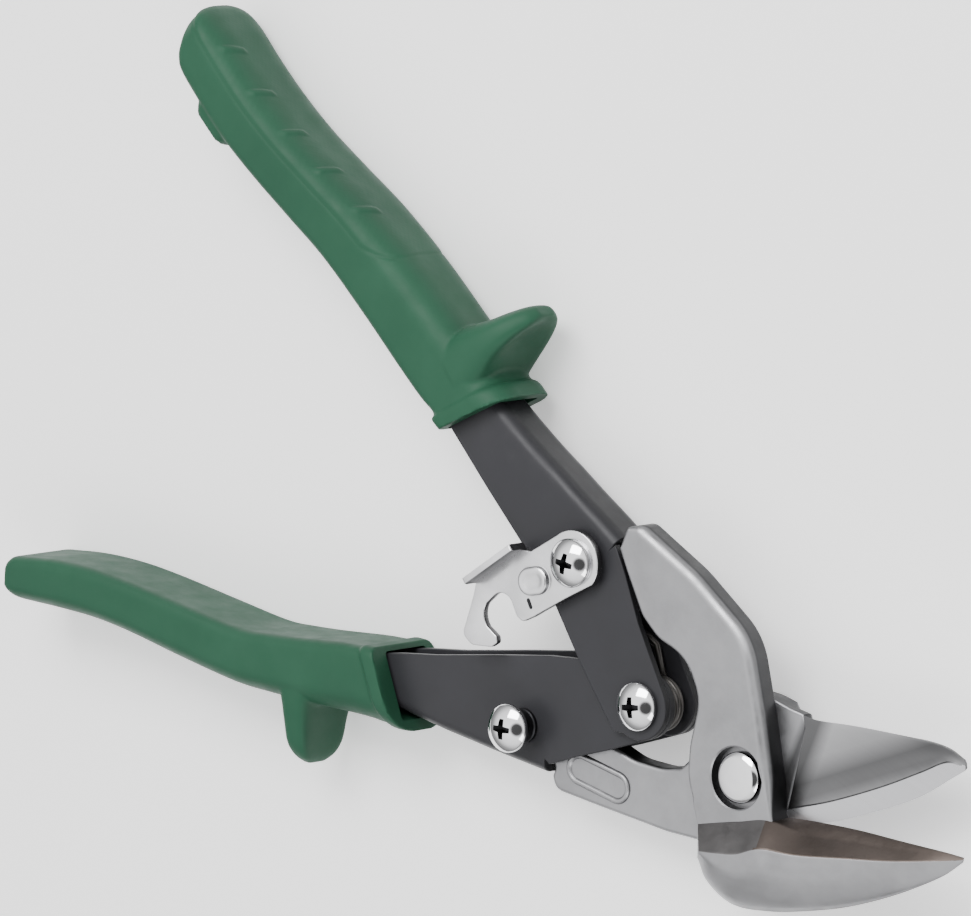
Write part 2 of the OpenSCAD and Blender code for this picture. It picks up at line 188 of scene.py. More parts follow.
# ---------------------------------------------------------------- meshes
class Maker:
    """Collects vertices and faces, in millimetres from the handles' mid plane."""

    def __init__(self):
        self.verts = []
        self.faces = []

    def ring(self, xy, z):
        start = len(self.verts)
        self.verts += [(x, y, z) for x, y in xy]
        return list(range(start, len(self.verts)))

    def ring3(self, points):
        start = len(self.verts)
        self.verts += [tuple(p) for p in points]
        return list(range(start, len(self.verts)))

    def join(self, a, b, closed=True):
        n = len(a)
        for i in range(n if closed else n - 1):
            j = (i + 1) % n
            self.faces.append((a[i], a[j], b[j], b[i]))

    def join_all(self, rings, closed=True):
        for a, b in zip(rings, rings[1:]):
            self.join(a, b, closed)

    def cap(self, loops):
        """Fills between one outer loop and any hole loops."""
        bm = bmesh.new()
        edges = []
        for loop in loops:
            vs = [bm.verts.new(self.verts[i]) for i in loop]
            edges += [bm.edges.new((vs[k], vs[(k + 1) % len(vs)])) for k in range(len(vs))]
        bm.verts.index_update()
        index = [i for loop in loops for i in loop]
        bmesh.ops.triangle_fill(bm, edges=edges, use_beauty=True)
        bm.verts.index_update()
        self.faces += [tuple(index[v.index] for v in f.verts) for f in bm.faces]
        bm.free()

    def mesh(self, name, sharp=38, flat=False):
        mesh = bpy.data.meshes.new(name)
        verts = [(x * MM, y * MM, (z + MID) * MM) for x, y, z in self.verts]
        mesh.from_pydata(verts, [], self.faces)
        bm = bmesh.new()
        bm.from_mesh(mesh)
        bmesh.ops.remove_doubles(bm, verts=bm.verts, dist=1e-6)
        bmesh.ops.recalc_face_normals(bm, faces=bm.faces)
        if flat:
            limit = math.radians(0.2)
            bmesh.ops.dissolve_limit(bm, angle_limit=limit, verts=bm.verts, edges=bm.edges)
        finish_edges(bm, sharp)
        bm.to_mesh(mesh)
        bm.free()
        return mesh


def finish_edges(bm, sharp):
    for f in bm.faces:
        f.smooth = True
    for e in bm.edges:
        if len(e.link_faces) == 2:
            e.smooth = e.calc_face_angle(0) < math.radians(sharp)


def piece(name, mesh, material, body, replaces=()):
    obj = bpy.data.objects.new(name, mesh)
    bpy.context.scene.collection.objects.link(obj)
    mesh.materials.clear()
    mesh.materials.append(material)
    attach(obj, body)
    if replaces:
        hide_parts(*replaces)
    return obj


def soften(obj, width, segments, angle):
    """Rounds the edges that are sharper than the angle."""
    rim = obj.modifiers.new("rim", "BEVEL")
    rim.width = width * MM
    rim.segments = segments
    rim.limit_method = "ANGLE"
    rim.angle_limit = math.radians(angle)


def steady(obj):
    """Shades the big flats evenly, whatever their triangles."""
    even = obj.modifiers.new("even_flats", "WEIGHTED_NORMAL")
    even.keep_sharp = True


def slab(maker, outline, z0, z1, top=0.4, bottom=0.4, holes=(), steps=4):
    """A plate with rounded rims. Each hole is (centre, [(radius, z), ...]) from the front to the back."""
    n = len(outline)
    radii = {z: np.broadcast_to(np.asarray(r, float), (n,)) for z, r in ((z1, top), (z0, bottom))}
    push = inward(outline)
    p = np.array(outline)
    rings = []
    for k in range(steps + 1):
        a = math.pi / 2 * k / steps
        r = radii[z0]
        rings.append([(*(p[i] + push[i] * r[i] * (1 - math.sin(a))), z0 + r[i] * (1 - math.cos(a)))
                      for i in range(n)])
    for k in range(steps + 1):
        a = math.pi / 2 * k / steps
        r = radii[z1]
        rings.append([(*(p[i] + push[i] * r[i] * (1 - math.cos(a))), z1 - r[i] * (1 - math.sin(a)))
                      for i in range(n)])
    index = [maker.ring3(r) for r in rings]
    maker.join_all(index)
    tops = [index[-1]]
    bottoms = [index[0]]
    for centre, profile in holes:
        walls = [maker.ring(arc(centre, r, 0, 360 - 360 / 64, 63), z) for r, z in profile]
        maker.join_all(walls)
        tops.append(walls[0])
        bottoms.append(walls[-1])
    maker.cap(tops)
    maker.cap(bottoms)


def loft(maker, rings):
    index = [maker.ring3(r) for r in rings]
    maker.join_all(index)
    maker.cap([index[0]])
    maker.cap([index[-1]])


def closed_stack(maker, rings):
    """Joins the rings, and closes both ends with a single face each."""
    maker.join_all(rings)
    maker.faces.append(tuple(rings[0]))
    maker.faces.append(tuple(rings[-1]))


def revolve(maker, centre, profile, n=72):
    """A turned solid from (radius, z) points, the first and last on or near the axis."""
    closed_stack(maker, [maker.ring(arc(centre, max(r, 0.02), 0, 360 - 360 / n, n - 1), z)
                         for r, z in profile])


def blunt(points, radius, n=3):
    """A 3-D ring whose corner i is rounded off over radius[i]."""
    out = []
    for i, p in enumerate(points):
        p = np.asarray(p, float)
        a = np.asarray(points[i - 1], float)
        b = np.asarray(points[(i + 1) % len(points)], float)
        if radius[i] <= 0:
            out.append(p)
            continue
        ra = min(radius[i], np.linalg.norm(a - p) * 0.45)
        rb = min(radius[i], np.linalg.norm(b - p) * 0.45)
        s = p + unit(a - p) * ra
        e = p + unit(b - p) * rb
        out += [(1 - t) ** 2 * s + 2 * t * (1 - t) * p + t * t * e for t in np.linspace(0, 1, n + 1)]
    return out


# ---------------------------------------------------------------- materials
def shader(name, color, metallic, roughness, **extra):
    m = bpy.data.materials.new(name)
    m.use_nodes = True
    b = m.node_tree.nodes["Principled BSDF"]
    b.inputs["Base Color"].default_value = (*color, 1)
    b.inputs["Metallic"].default_value = metallic
    b.inputs["Roughness"].default_value = roughness
    for key, value in extra.items():
        b.inputs[key.replace("_", " ")].default_value = value
    return m, m.node_tree, b


def noise(tree, scale, detail=4, rough=0.6, stretch=(1, 1, 1), turn=(0, 0, 0)):
    coords = tree.nodes.new("ShaderNodeTexCoord")
    place = tree.nodes.new("ShaderNodeMapping")
    place.inputs["Scale"].default_value = stretch
    place.inputs["Rotation"].default_value = turn
    tex = tree.nodes.new("ShaderNodeTexNoise")
    tex.inputs["Scale"].default_value = scale
    tex.inputs["Detail"].default_value = detail
    tex.inputs["Roughness"].default_value = rough
    tree.links.new(coords.outputs["Object"], place.inputs["Vector"])
    tree.links.new(place.outputs["Vector"], tex.inputs["Vector"])
    return tex.outputs["Fac"]


def ramp(tree, value, stops):
    node = tree.nodes.new("ShaderNodeValToRGB")
    elements = node.color_ramp.elements
    while len(elements) < len(stops):
        elements.new(0.5)
    for element, (at, color) in zip(elements, stops):
        element.position = at
        element.color = (*color, 1) if len(color) == 3 else color
    tree.links.new(value, node.inputs["Fac"])
    return node.outputs["Color"]


def grey(v):
    return (v, v, v)


def bump(tree, bsdf, heights):
    """Chains bumps, each (height, strength, distance in mm)."""
    last = None
    for height, strength, distance in heights:
        node = tree.nodes.new("ShaderNodeBump")
        node.inputs["Strength"].default_value = strength
        node.inputs["Distance"].default_value = distance * MM
        tree.links.new(height, node.inputs["Height"])
        if last is not None:
            tree.links.new(last, node.inputs["Normal"])
        last = node.outputs["Normal"]
    tree.links.new(last, bsdf.inputs["Normal"])


def painted_side_shade(tree, low, high):
    """Painted shade on the side faces: a grey factor by how far a surface faces along the pivots, low on the
    sides, high on the flats.
    """
    coords = tree.nodes.new("ShaderNodeTexCoord")
    split = tree.nodes.new("ShaderNodeSeparateXYZ")
    size = tree.nodes.new("ShaderNodeMath")
    size.operation = "ABSOLUTE"
    tree.links.new(coords.outputs["Normal"], split.inputs["Vector"])
    tree.links.new(split.outputs["Z"], size.inputs[0])
    return ramp(tree, size.outputs["Value"], [(0.25, grey(low)), (0.7, grey(high))])


def times(tree, a, b):
    node = tree.nodes.new("ShaderNodeMix")
    node.data_type = "RGBA"
    node.blend_type = "MULTIPLY"
    node.inputs[0].default_value = 1
    tree.links.new(a, node.inputs[6])
    tree.links.new(b, node.inputs[7])
    return node.outputs[2]


def fade_x(tree, stops):
    """A grey factor along the tool; stops are (x in mm, factor)."""
    reach = 50
    coords = tree.nodes.new("ShaderNodeTexCoord")
    split = tree.nodes.new("ShaderNodeSeparateXYZ")
    scale = tree.nodes.new("ShaderNodeMath")
    scale.operation = "DIVIDE"
    scale.inputs[1].default_value = reach * MM
    tree.links.new(coords.outputs["Object"], split.inputs["Vector"])
    tree.links.new(split.outputs["X"], scale.inputs[0])
    return ramp(tree, scale.outputs["Value"], [(x / reach, grey(v)) for x, v in stops])


def blasted_steel(name, color, rough, side=0.14, stops=None):
    """Forged steel, bead-blasted satin on its flats, with painted shade darkening its side faces, faint
    cloudy staining, and where stops are given a painted shade along the tool.
    """
    m, t, b = shader(name, color, 1.0, rough)
    cloud = noise(t, 70, 5, 0.65)
    low = tuple(c * 0.86 for c in color)
    high = tuple(min(1, c * 1.1) for c in color)
    skin = ramp(t, cloud, [(0.3, low), (0.5, color), (0.72, high)])
    # painted shade: the side faces are darkened to the side factor
    skin = times(t, skin, painted_side_shade(t, side, 1))
    # painted shade along the tool, from the stops
    if stops:
        skin = times(t, skin, fade_x(t, stops))
    t.links.new(skin, b.inputs["Base Color"])
    t.links.new(ramp(t, noise(t, 260, 3), [(0.3, grey(rough - 0.07)), (0.7, grey(rough + 0.08))]),
                b.inputs["Roughness"])
    bump(t, b, [(noise(t, 4200, 2, 0.5), 0.35, 0.05), (noise(t, 900, 3, 0.6), 0.18, 0.08)])
    return m


def hollow_shade(tree):
    """Painted shade in bands along the hollow of the upper blade, parallel to its edge, for how light falls
    across the concave grind.
    """
    width = 19
    edge = 10.8
    coords = tree.nodes.new("ShaderNodeTexCoord")
    across = tree.nodes.new("ShaderNodeVectorMath")
    across.operation = "DOT_PRODUCT"
    # one unit from the cutting edge to the spine's corner
    across.inputs[1].default_value = (*(c / (width * MM) for c in BLADE_ACROSS), 0)
    place = tree.nodes.new("ShaderNodeMath")
    place.operation = "ADD"
    place.inputs[1].default_value = edge / width
    tree.links.new(coords.outputs["Object"], across.inputs[0])
    tree.links.new(across.outputs["Value"], place.inputs[0])
    return ramp(tree, place.outputs["Value"],
                [(0.1, grey(0.6)), (0.2, grey(0.36)), (0.34, grey(0.3)), (0.55, grey(0.8)), (0.8, grey(1))])


def ground_steel(name, color, rough, turn, hollow=False):
    """Ground blade steel, with fine parallel grinding lines."""
    m, t, b = shader(name, color, 1.0, rough)
    lines = noise(t, 400, 3, 0.7, (0.06, 3.2, 1.0), (0, 0, turn))
    low = tuple(c * 0.93 for c in color)
    skin = ramp(t, lines, [(0.3, low), (0.7, color)])
    # painted shade: bands across the hollow, and the lower jaw's painted shadow towards the blade's root
    if hollow:
        skin = times(t, times(t, skin, hollow_shade(t)), fade_x(t, [(9.4, 0.3), (12.5, 1)]))
    t.links.new(skin, b.inputs["Base Color"])
    t.links.new(ramp(t, lines, [(0.3, grey(rough - 0.04)), (0.7, grey(rough + 0.06))]),
                b.inputs["Roughness"])
    bump(t, b, [(lines, 0.12, 0.03)])
    return m


def painted(name):
    """Satin black paint, with a faint orange peel and rubbed brighter patches."""
    color = (0.031, 0.031, 0.035)
    m, t, b = shader(name, color, 0.1, 0.4, Specular_IOR_Level=0.25)
    cloud = noise(t, 45, 5, 0.6)
    skin = ramp(t, cloud, [(0.25, (0.026, 0.026, 0.029)), (0.6, color), (0.85, (0.041, 0.041, 0.045))])
    # painted shade: the side faces are darkened to 0.45
    t.links.new(times(t, skin, painted_side_shade(t, 0.45, 1)), b.inputs["Base Color"])
    t.links.new(ramp(t, noise(t, 160, 4), [(0.3, grey(0.36)), (0.75, grey(0.5))]), b.inputs["Roughness"])
    bump(t, b, [(noise(t, 1400, 2, 0.5), 0.12, 0.05), (noise(t, 300, 2), 0.08, 0.08)])
    return m


def moulded(name):
    """Green moulded vinyl: a fine matt skin, slightly cloudy, brighter where it is rubbed."""
    color = (0.019, 0.078, 0.043)
    m, t, b = shader(name, color, 0.0, 0.5, Specular_IOR_Level=0.18)
    cloud = noise(t, 38, 5, 0.6)
    skin = ramp(t, cloud, [(0.25, (0.016, 0.066, 0.037)), (0.55, color), (0.85, (0.025, 0.092, 0.053))])
    # painted shade: the side faces are darkened to 0.75
    t.links.new(times(t, skin, painted_side_shade(t, 0.75, 1)), b.inputs["Base Color"])
    t.links.new(ramp(t, noise(t, 220, 4), [(0.3, grey(0.46)), (0.75, grey(0.6))]), b.inputs["Roughness"])
    bump(t, b, [(noise(t, 2600, 2, 0.5), 0.2, 0.05), (noise(t, 420, 3), 0.1, 0.08)])
    return m


def plated(name, color, rough, speckle=0.06, side=1.0):
    """Plated steel: clean reflections, broken by faint polishing haze, with painted shade darkening its side
    faces to the side factor.
    """
    m, t, b = shader(name, color, 1.0, rough)
    low = tuple(c * 0.88 for c in color)
    skin = ramp(t, noise(t, 190, 4), [(0.3, low), (0.65, color)])
    # painted shade on the side faces
    t.links.new(times(t, skin, painted_side_shade(t, side, 1)), b.inputs["Base Color"])
    t.links.new(ramp(t, noise(t, 600, 4), [(0.35, grey(rough)), (0.75, grey(rough + speckle))]),
                b.inputs["Roughness"])
    bump(t, b, [(noise(t, 800, 3), 0.05, 0.04)])
    return m


# the jaw steel's side faces are darkened to 0.14: painted shade
JAW = blasted_steel("forged_jaw_steel", (0.36, 0.36, 0.372), 0.42)
# painted shadow of the lower jaw: this steel darkens beyond x = 5.4 mm
ROOT_SHADED_JAW = blasted_steel("forged_jaw_steel_painted_root_shade", (0.36, 0.36, 0.372), 0.42, 0.14, [(5.4, 1), (7, 0.3)])
# the hollow ground steel carries painted shade bands and a painted shadow at the root
GROUND = ground_steel("hollow_ground_steel", (0.44, 0.44, 0.45), 0.36, 0.5, True)
LAND = ground_steel("honed_edge_steel", (0.62, 0.62, 0.64), 0.3, 0.6)
# painted shade on the lower blade's receding slope and ledge
SLOPE_SHADE_STEEL = blasted_steel("blade_slope_painted_shade", (0.115, 0.095, 0.085), 0.46, 0.9)
LEDGE_SHADE_STEEL = blasted_steel("ledge_painted_shade", (0.15, 0.145, 0.145), 0.46, 0.9)
PAINT = painted("satin_black_paint")
VINYL = moulded("green_moulded_vinyl")
# the chrome and the bright zinc get painted shade on their side faces
CHROME = plated("bright_screw_plating", (0.93, 0.93, 0.95), 0.07, 0.04, 0.45)
# near-black painted shade for recesses, the latch slot and the shanks under the heads
SHADE_BLACK = plated("recess_painted_shade", (0.035, 0.035, 0.038), 0.4, 0.1)
ZINC = plated("bright_zinc_plate", (0.88, 0.88, 0.9), 0.26, 0.12, 0.2)
NUT = plated("dull_zinc_nut", (0.52, 0.52, 0.54), 0.34, 0.12)
SPRING = plated("oiled_spring_steel", (0.1, 0.095, 0.09), 0.36, 0.12)


# ---------------------------------------------------------------- jaws
def lower_jaw_plate():
    inner = rounded([(-42.8, 28, 0), (-42.8, 25.6, 0.6), (-39.6, 22.6, 2), (-32.6, 16.6, 6), (-27.6, 14.6, 8),
                     (-20, 14.6, 10), (-14, 9, 8), (-12.4, 0, 14), (-10.4, -5.6, 12), (-4.2, -12.6, 0)],
                    closed=False)
    heel = corners((-2.2, -13.6), (12.2, -4.6))
    outer = rounded([(10.3, -2.4, 0), (7.2, 3.4, 20), (0.4, 13.4, 16), (-8.5, 25.4, 14), (-25, 30.1, 30),
                     (-40, 32.2, 3), (-42.8, 30.2, 1), (-42.8, 28.5, 0)], closed=False)
    # the long outer edge is rounded off more than the rest
    outline = dense(inner + heel + outer)
    first_outer = next(i for i, p in enumerate(outline) if np.allclose(p, outer[0]))

    def rim(i):
        if i < first_outer:
            return 0.8 if i < first_outer - 14 else 0.3
        x, y = outline[i]
        return 0.7 + 1.5 * min(1, max(0, (y + 1.5) / 7)) * min(1, max(0, (x + 43) / 4))
    m = Maker()
    bore = ((0, 0), [(6.2, JAW_FACE), (5.95, JAW_FACE - 0.25), (5.95, 5.0), (4.05, 5.0),
                     (4.05, LOWER_JAW_REAR)])
    slab(m, outline, LOWER_JAW_REAR, JAW_FACE, [rim(i) for i in range(len(outline))], 0.25, [bore], 6)
    steady(piece("lower_jaw_plate", m.mesh("lower_jaw_plate"), JAW, "lower_jaw", ["lower_jaw"]))


def lower_jaw_tang():
    m = Maker()
    tang = rounded([(-50, 11.2, 0), (-42, 14.2, 2), (-29, 15.6, 4), (-19, 15.4, 3), (-15.4, 20.6, 3),
                    (-24, 25.6, 4), (-40.6, 26.8, 1), (-44.2, 24.6, 1), (-50, 24.9, 0)], closed=False)
    slab(m, tang + arc(PA, 7, 83, 270, 24), -2.5, 2.5, 0.4, 0.4,
         [(PA, [(SCREW_HOLE_R, 2.5), (SCREW_HOLE_R, -2.5)])])
    piece("lower_jaw_tang", m.mesh("lower_jaw_tang"), JAW, "lower_jaw")


def lower_blade():
    # sections from the heel to the tip, each [edge, ledge, ridge, belly, bottom, root]
    sections = np.array([
        [[-4.3, -12.0, 2.35], [-4.3, -12.3, 7.3], [0.9, -14.8, 11.8], [0.8, -15.6, 11.3],
         [-0.6, -17.6, 8.4], [-0.6, -17.0, 2.35]],
        [[-0.3, -9.6, 2.35], [-0.3, -9.7, 7.4], [4.6, -13.0, 12.0], [4.2, -15.8, 11.7],
         [3.0, -20.8, 8.2], [3.0, -20.0, 2.35]],
        [[4.1, -6.9, 2.35], [4.1, -6.9, 7.4], [8.8, -10.7, 12.0], [9.2, -14.8, 11.9],
         [9.6, -21.8, 7.8], [9.4, -20.8, 2.35]],
        [[10.3, -3.2, 2.35], [10.3, -3.2, 7.3], [13.2, -7.0, 11.9], [14.6, -11.8, 11.8],
         [17.0, -18.8, 7.4], [16.4, -18.0, 2.35]],
        [[16.5, -0.4, 2.35], [17.4, -2.4, 5.4], [19.6, -4.8, 10.2], [21.0, -9.6, 10.2],
         [23.0, -15.4, 6.6], [22.6, -14.6, 2.35]],
        [[26.0, 3.3, 2.35], [26.8, 1.4, 4.6], [28.4, -0.6, 8.4], [29.6, -4.8, 8.2],
         [31.2, -9.8, 5.4], [30.8, -9.2, 2.35]],
        [[35.6, 6.5, 2.35], [36.2, 5.2, 3.8], [37.2, 3.6, 6.2], [38.2, 0.6, 5.8],
         [39.4, -2.6, 4.2], [39.0, -2.2, 2.35]],
        [[45.0, 9.7, 2.35], [45.2, 9.2, 2.8], [45.6, 8.2, 3.6], [45.9, 6.8, 3.4],
         [46.3, 5.0, 2.9], [46.1, 5.2, 2.35]],
        [[49.3, 11.0, 2.35], [49.35, 10.9, 2.5], [49.45, 10.6, 2.7], [49.5, 10.3, 2.7],
         [49.5, 10.0, 2.55], [49.45, 10.05, 2.35]]])
    tracks = np.stack([through(sections[:, k], 8) for k in range(6)], axis=1)
    tracks[:, :, 2] = np.clip(tracks[:, :, 2], LOWER_JAW_REAR, BLADE_TOP)
    tracks[:, :, 0] = np.minimum(tracks[:, :, 0], TIP_X)
    rings = []
    for edge, ledge, ridge, belly, bottom, root in tracks:
        curve = through([ridge, belly, bottom, root], 6)[:19]
        curve[:, 2] = np.minimum(curve[:, 2], BLADE_TOP)
        rings.append(blunt([edge, ledge, *curve], [0.08, 0.4, 0.35] + [0] * (len(curve) - 2) + [0.3], 3))
    m = Maker()
    loft(m, rings)
    blade = piece("lower_blade", m.mesh("lower_blade", 30), JAW, "lower_jaw")
    blade.data.materials.append(SLOPE_SHADE_STEEL)
    blade.data.materials.append(LEDGE_SHADE_STEEL)
    # painted shade: the sloping face behind the cutting edge gets a dark brown-grey and the ledge beside it a
    # dark grey, for the shade on these receding faces
    for f in blade.data.polygons:
        x, y, z = f.center / MM
        n = f.normal
        if n.y - n.x * 0.6 > 0.25 and z - MID > 2.4:
            f.material_index = 1 if x + 0.4 * y > 8.4 else 2


def upper_jaw_plate():
    hub = 15.6
    outline = (arc(PB, 6, 92, 292, 24)
               + rounded([(-45.5, -22.6, 0), (-42.3, -22.4, 0.8), (-42.3, -24.6, 1), (-40.6, -26.7, 2.6),
                          (-30, -24.3, 30), (-13.6, -20.4, 20), (-3, -16.9, 8), (2.0, -14.6, 0)],
                         closed=False)
               + corners((6.2, -10.6), (9.2, -6.4), (10.2, -3.0), (9.0, 4.0), (8.0, 10.0),
                         (7.2, 14.4), (5.6, 16.4), (2.6, 15.9), (-1.4, 15.54))
               + arc((0, 0), hub, 98, 200, 20)
               + rounded([(-15.6, -7.4, 0), (-19, -9.6, 12), (-26, -11.8, 12), (-36, -11.8, 4),
                          (-47, -12.1, 0)], closed=False))
    outline = dense(outline)

    def rim(x, y):
        if x > 6.6 and y > -4:
            return 0.5
        return 0.9 if y < -18 or (y > -14 and x < -14) else 0.4
    top = [rim(x, y) for x, y in outline]
    # the back is rounded right away beside the blade's root
    bottom = [3.3 if p[0] > 2 and p[1] > 6 else 0.5 for p in outline]
    m = Maker()
    bores = [(centre, [(r, SHEAR), (r, UPPER_JAW_REAR)])
             for centre, r in (((0, 0), 4.0), (PB, SCREW_HOLE_R))]
    slab(m, outline, UPPER_JAW_REAR, SHEAR, top, bottom, bores, 5)
    # the plate's edge beside the blade's root carries the lower jaw's painted shadow
    plate = piece("upper_jaw_plate", m.mesh("upper_jaw_plate"), ROOT_SHADED_JAW, "upper_jaw",
                  ["upper_jaw"])
    steady(plate)


def nameplate():
    """A blank oval plate: a raised rim round a sunk field."""
    centre = np.array([-32, -19.2])
    m = Maker()
    profile = [(-0.3, SHEAR - 0.2), (-0.3, SHEAR + 0.01), (0.0, SHEAR + 0.44), (0.16, SHEAR + 0.52),
               (0.5, SHEAR + 0.52), (0.66, SHEAR + 0.44), (0.95, SHEAR + 0.02), (1.1, SHEAR + 0.02)]
    closed_stack(m, [m.ring(stadium(centre, heading(8), 4.8, 2.9 - inset, 16), z) for inset, z in profile])
    piece("nameplate_rim", m.mesh("nameplate_rim"), JAW, "upper_jaw")


def upper_blade():
    # sections outwards, each [edge, land, hollow, top front, top back, spine, relief]
    sections = np.array([
        [[9.0, -6.4, 2.28], [8.4, -3.2, 2.28], [7.2, 6, 2.2], [5.6, 16.3, 2.2],
         [6.2, 14.4, -1.4], [7, 8, -2.5], [9.0, -4.4, -2.5]],
        [[11.4, -3.5, 2.3], [10.6, -1.2, 2.3], [10.0, 7, 1.8], [9.2, 17.2, 2.1],
         [9.6, 15.9, -0.6], [9.6, 8, -2.5], [11.6, -3.2, -2.0]],
        [[19.6, 1.2, 2.3], [18.0, 4.6, 2.3], [17.4, 11, 0.9], [16.4, 20.2, 1.8],
         [16.8, 19.3, 0], [17.2, 12, -2.5], [19.2, 2.4, -1.8]],
        [[28.7, 9.0, 2.3], [27.0, 12.9, 2.3], [25.8, 17.4, 0.9], [24.4, 23.2, 1.6],
         [24.7, 22.5, 0], [25.6, 17, -2.2], [28.0, 9.8, -1.4]],
        [[35.7, 16.0, 2.3], [33.8, 20.0, 2.3], [32.6, 22.8, 1.1], [31.2, 25.6, 1.7],
         [31.2, 25.4, 0.2], [32.6, 21.6, -1.4], [35.0, 17.0, -0.8]],
        [[40.6, 22.8, 2.3], [38.2, 24.7, 2.3], [37.6, 25.9, 1.7], [36.8, 27.2, 1.9],
         [36.8, 27.0, 0.7], [38.2, 25.4, 0], [40.0, 23.4, 0.2]],
        [[42.6, 25.6, 2.3], [42.4, 26.2, 2.3], [42.0, 26.8, 2.2], [41.4, 27.4, 2.2],
         [41.3, 27.2, 1.5], [41.8, 26.6, 1.3], [42.3, 25.9, 1.4]]])
    tracks = np.stack([through(sections[:, k], 10) for k in range(7)], axis=1)
    tracks[:, :, 2] = np.clip(tracks[:, :, 2], UPPER_JAW_REAR, SHEAR)
    rings = []
    count = len(tracks)
    for i, (edge, land, hollow, front, back, spine, relief) in enumerate(tracks):
        step = land + unit(hollow - land) * 0.35
        step[2] = land[2] - 0.45 * min(1, (count - 1 - i) / 12)
        front_curve = through([step, hollow, front], 7)
        back_curve = through([back, spine, relief], 7)
        radius = ([0.05, 0.08] + [0] * (len(front_curve) - 1) + [0.3, 0.3]
                  + [0] * (len(back_curve) - 2) + [0.4])
        rings.append(blunt([edge, land, *front_curve, *back_curve], radius, 3))
    m = Maker()
    loft(m, rings)
    blade = piece("upper_blade", m.mesh("upper_blade", 28), GROUND, "upper_jaw")
    blade.data.materials.append(LAND)
    blade.data.materials.append(JAW)
    # the honed land along the cutting edge, and the forged back
    for f in blade.data.polygons:
        x, y, z = f.center / MM
        on_land = BLADE_ACROSS[0] * x + BLADE_ACROSS[1] * y < -7.9
        if f.normal.z > 0.97 and z - MID > SHEAR - 0.1 and on_land:
            f.material_index = 1
        elif f.normal.z < 0.3:
            f.material_index = 2


# ---------------------------------------------------------------- handles
def channel(name, body, faces, web, rest, side, holes):
    """A pressed U-section: front plate, web and rear plate as one bent sheet.

    web is the outer edge from the shoulder back; rest is the rest of the plate's outline.
    """
    bend = 3.0
    front, rear = faces
    inner = bend - SHEET
    path = through(web, 4)
    t = np.gradient(path, axis=0)
    t /= np.linalg.norm(t, axis=1)[:, None]
    n = np.stack([-t[:, 1], t[:, 0]], 1) * side
    m = Maker()

    def skin(r, face_front, face_rear):
        """Rings along the web, from the front plate round to the rear plate."""
        rings = []
        for zc, angles in ((front - bend, np.linspace(90, 0, 7)), (rear + bend, np.linspace(0, -90, 7))):
            for a in np.radians(angles):
                rings.append([(*(path[i] + n[i] * (bend - r * math.cos(a))), zc + r * math.sin(a))
                              for i in range(len(path))])
        return [m.ring3(ring) for ring in rings]
    outer = skin(bend, front, rear)
    inside = skin(inner, front - SHEET, rear + SHEET)
    m.join_all(outer, closed=False)
    m.join_all(inside, closed=False)

    def plate(z_out, z_in, out_edge, in_edge, trims):
        """One flat wall: two faces and the cut rim round the free edges."""
        free = dense(trims, 2.0, False)
        a = m.ring(free, z_out)
        b = m.ring(free, z_in)
        loops_out = [out_edge + a]
        loops_in = [in_edge + b]
        for centre, r in holes:
            ha = m.ring(arc(centre, r, 0, 352.5, 47), z_out)
            hb = m.ring(arc(centre, r, 0, 352.5, 47), z_in)
            m.join(ha, hb)
            loops_out.append(ha)
            loops_in.append(hb)
        m.cap(loops_out)
        m.cap(loops_in)
        m.join([out_edge[-1]] + a + [out_edge[0]], [in_edge[-1]] + b + [in_edge[0]], closed=False)
    plate(front, front - SHEET, outer[0], inside[0], rest)
    plate(rear, rear + SHEET, outer[-1], inside[-1], rest)
    for end in (0, -1):
        m.join([r[end] for r in outer], [r[end] for r in inside], closed=False)
    obj = piece(name, m.mesh(name, 40, True), PAINT, body, [name])
    soften(obj, 0.22, 2, 50)
    steady(obj)


def upper_handle():
    web = [(-44.7, 26.6), (-50.6, 28.1), (-56.5, 29.4), (-63, 31), (-70, 32.6), (-77, 34.5), (-84, 36.6),
           (-93, 39.0), (-102, 41.4)]
    rest = (corners((-104, 33.4), (-97, 29.8), (-89, 25.6), (-77, 19.8), (-65.2, 14.4), (-52.6, 7.4),
                    (-43.3, 0.8))
            + arc(PH, EAR_R + 1.5, 232, 246, 3) + arc(PH, EAR_R, 262, 404, 22)
            + corners((-33.6, 14.2), (-40.4, 21.3), (-44.7, 25.2)))
    channel("upper_handle", "upper_handle", UPPER_FACES, web, rest, 1, [(PA, SCREW_R), (PH, SCREW_R)])


def lower_handle():
    web = [(-43.2, -24.4), (-49.5, -25.8), (-56, -27.2), (-62.5, -28.5), (-69, -29.8), (-75.5, -30.9),
           (-82, -32.0), (-92, -34.8), (-102, -37.6)]
    rest = (corners((-106, -31.2), (-92, -25.4), (-84, -20.9), (-76, -16.8), (-61, -8.3), (-51, -2.8),
                    (-43.6, 0.6), (-36.5, 3.6))
            + arc(PH, EAR_R, 128, -50, 26)
            + corners((-30.6, -11.9), (-37.6, -17.6), (-42.2, -21.8)))
    # the hole at the handles' crossing has the clearance of the opened linkage
    channel("lower_handle", "lower_handle", LOWER_FACES, web, rest, -1, [(PB, SCREW_R), (PH, 2.95)])


# ---------------------------------------------------------------- grips
def section(a, b):
    """A grip's cross-section: flat inner face with soft corners, rounded palm side."""
    soft = 2.2
    up = [(-a + soft * (1 - math.cos(t)), b - soft * (1 - math.sin(t)))
          for t in np.linspace(0, math.pi / 2, 6)]
    up += [(a * (0.25 + 0.75 * math.sin(t)), b * (0.25 + 0.75 * math.cos(t)))
           for t in np.linspace(0, math.pi / 2, 14)]
    return up + [(x, -z) for x, z in reversed(up)]


